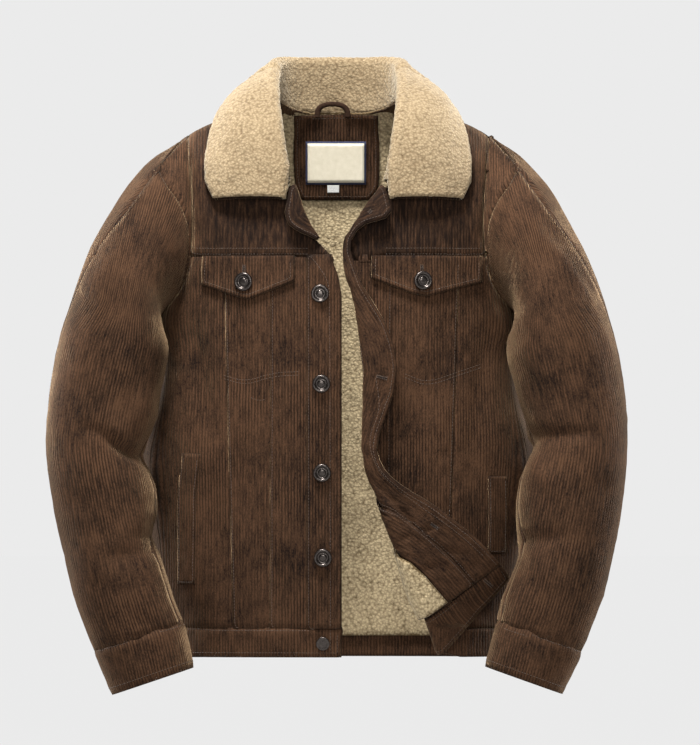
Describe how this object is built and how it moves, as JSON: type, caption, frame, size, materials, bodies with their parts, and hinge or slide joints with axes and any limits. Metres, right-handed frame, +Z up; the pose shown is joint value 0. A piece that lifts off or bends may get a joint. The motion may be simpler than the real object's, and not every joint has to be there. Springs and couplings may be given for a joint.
{
  "type": "jacket",
  "caption": "Corduroy jacket with pile collar and lining, snap placket, flapped chest pockets and turned-back front edge, hollow as if worn.",
  "frame": {"origin": "middle of the neck opening, level with the seam of the back neck", "axes": "+X to the viewer's right as seen from the front, -Y out of the front, +Z up"},
  "size_m": [0.6793, 0.2617, 0.7432],
  "materials": {
    "corduroy": "wide-wale corduroy",
    "pile": "curly pile",
    "gunmetal": "glossy",
    "label_edge": "woven",
    "label_field": "woven",
    "white_tab": "woven"
  },
  "bodies": {
    "root": {"left_front_yoke": "corduroy", "right_front_yoke": "corduroy", "left_front_inner_panel": "corduroy", "left_front_middle_panel": "corduroy", "left_front_side_panel": "corduroy", "right_front_inner_panel": "corduroy", "right_front_middle_panel": "corduroy", "right_front_side_panel": "corduroy", "left_placket": "corduroy", "left_front_corner": "corduroy", "right_placket": "corduroy", "right_inner_facing": "corduroy", "left_hem_band": "corduroy", "right_hem_band": "corduroy", "back_hem_band": "corduroy", "back_yoke": "corduroy", "back_centre_panel": "corduroy", "left_back_panel": "corduroy", "right_back_panel": "corduroy", "neck_panel": "corduroy", "left_sleeve_back": "corduroy", "left_sleeve_front": "corduroy", "left_shoulder_wedge": "corduroy", "left_cuff": "corduroy", "right_sleeve_back": "corduroy", "right_sleeve_front": "corduroy", "right_shoulder_wedge": "corduroy", "right_cuff": "corduroy", "under_collar": "corduroy", "left_pocket_flap": "corduroy", "right_pocket_flap": "corduroy", "left_welt": "corduroy", "right_welt": "corduroy", "hanger_loop": "corduroy", "collar": "pile", "back_lining": "pile", "right_front_lining": "pile", "placket_button_1": "gunmetal", "placket_button_2": "gunmetal", "placket_button_3": "gunmetal", "placket_button_4": "gunmetal", "hem_snap": "gunmetal", "left_flap_button": "gunmetal", "right_flap_button": "gunmetal", "label": "label_edge", "label_field": "label_field", "size_tab": "white_tab"}
  },
  "joints": []
}
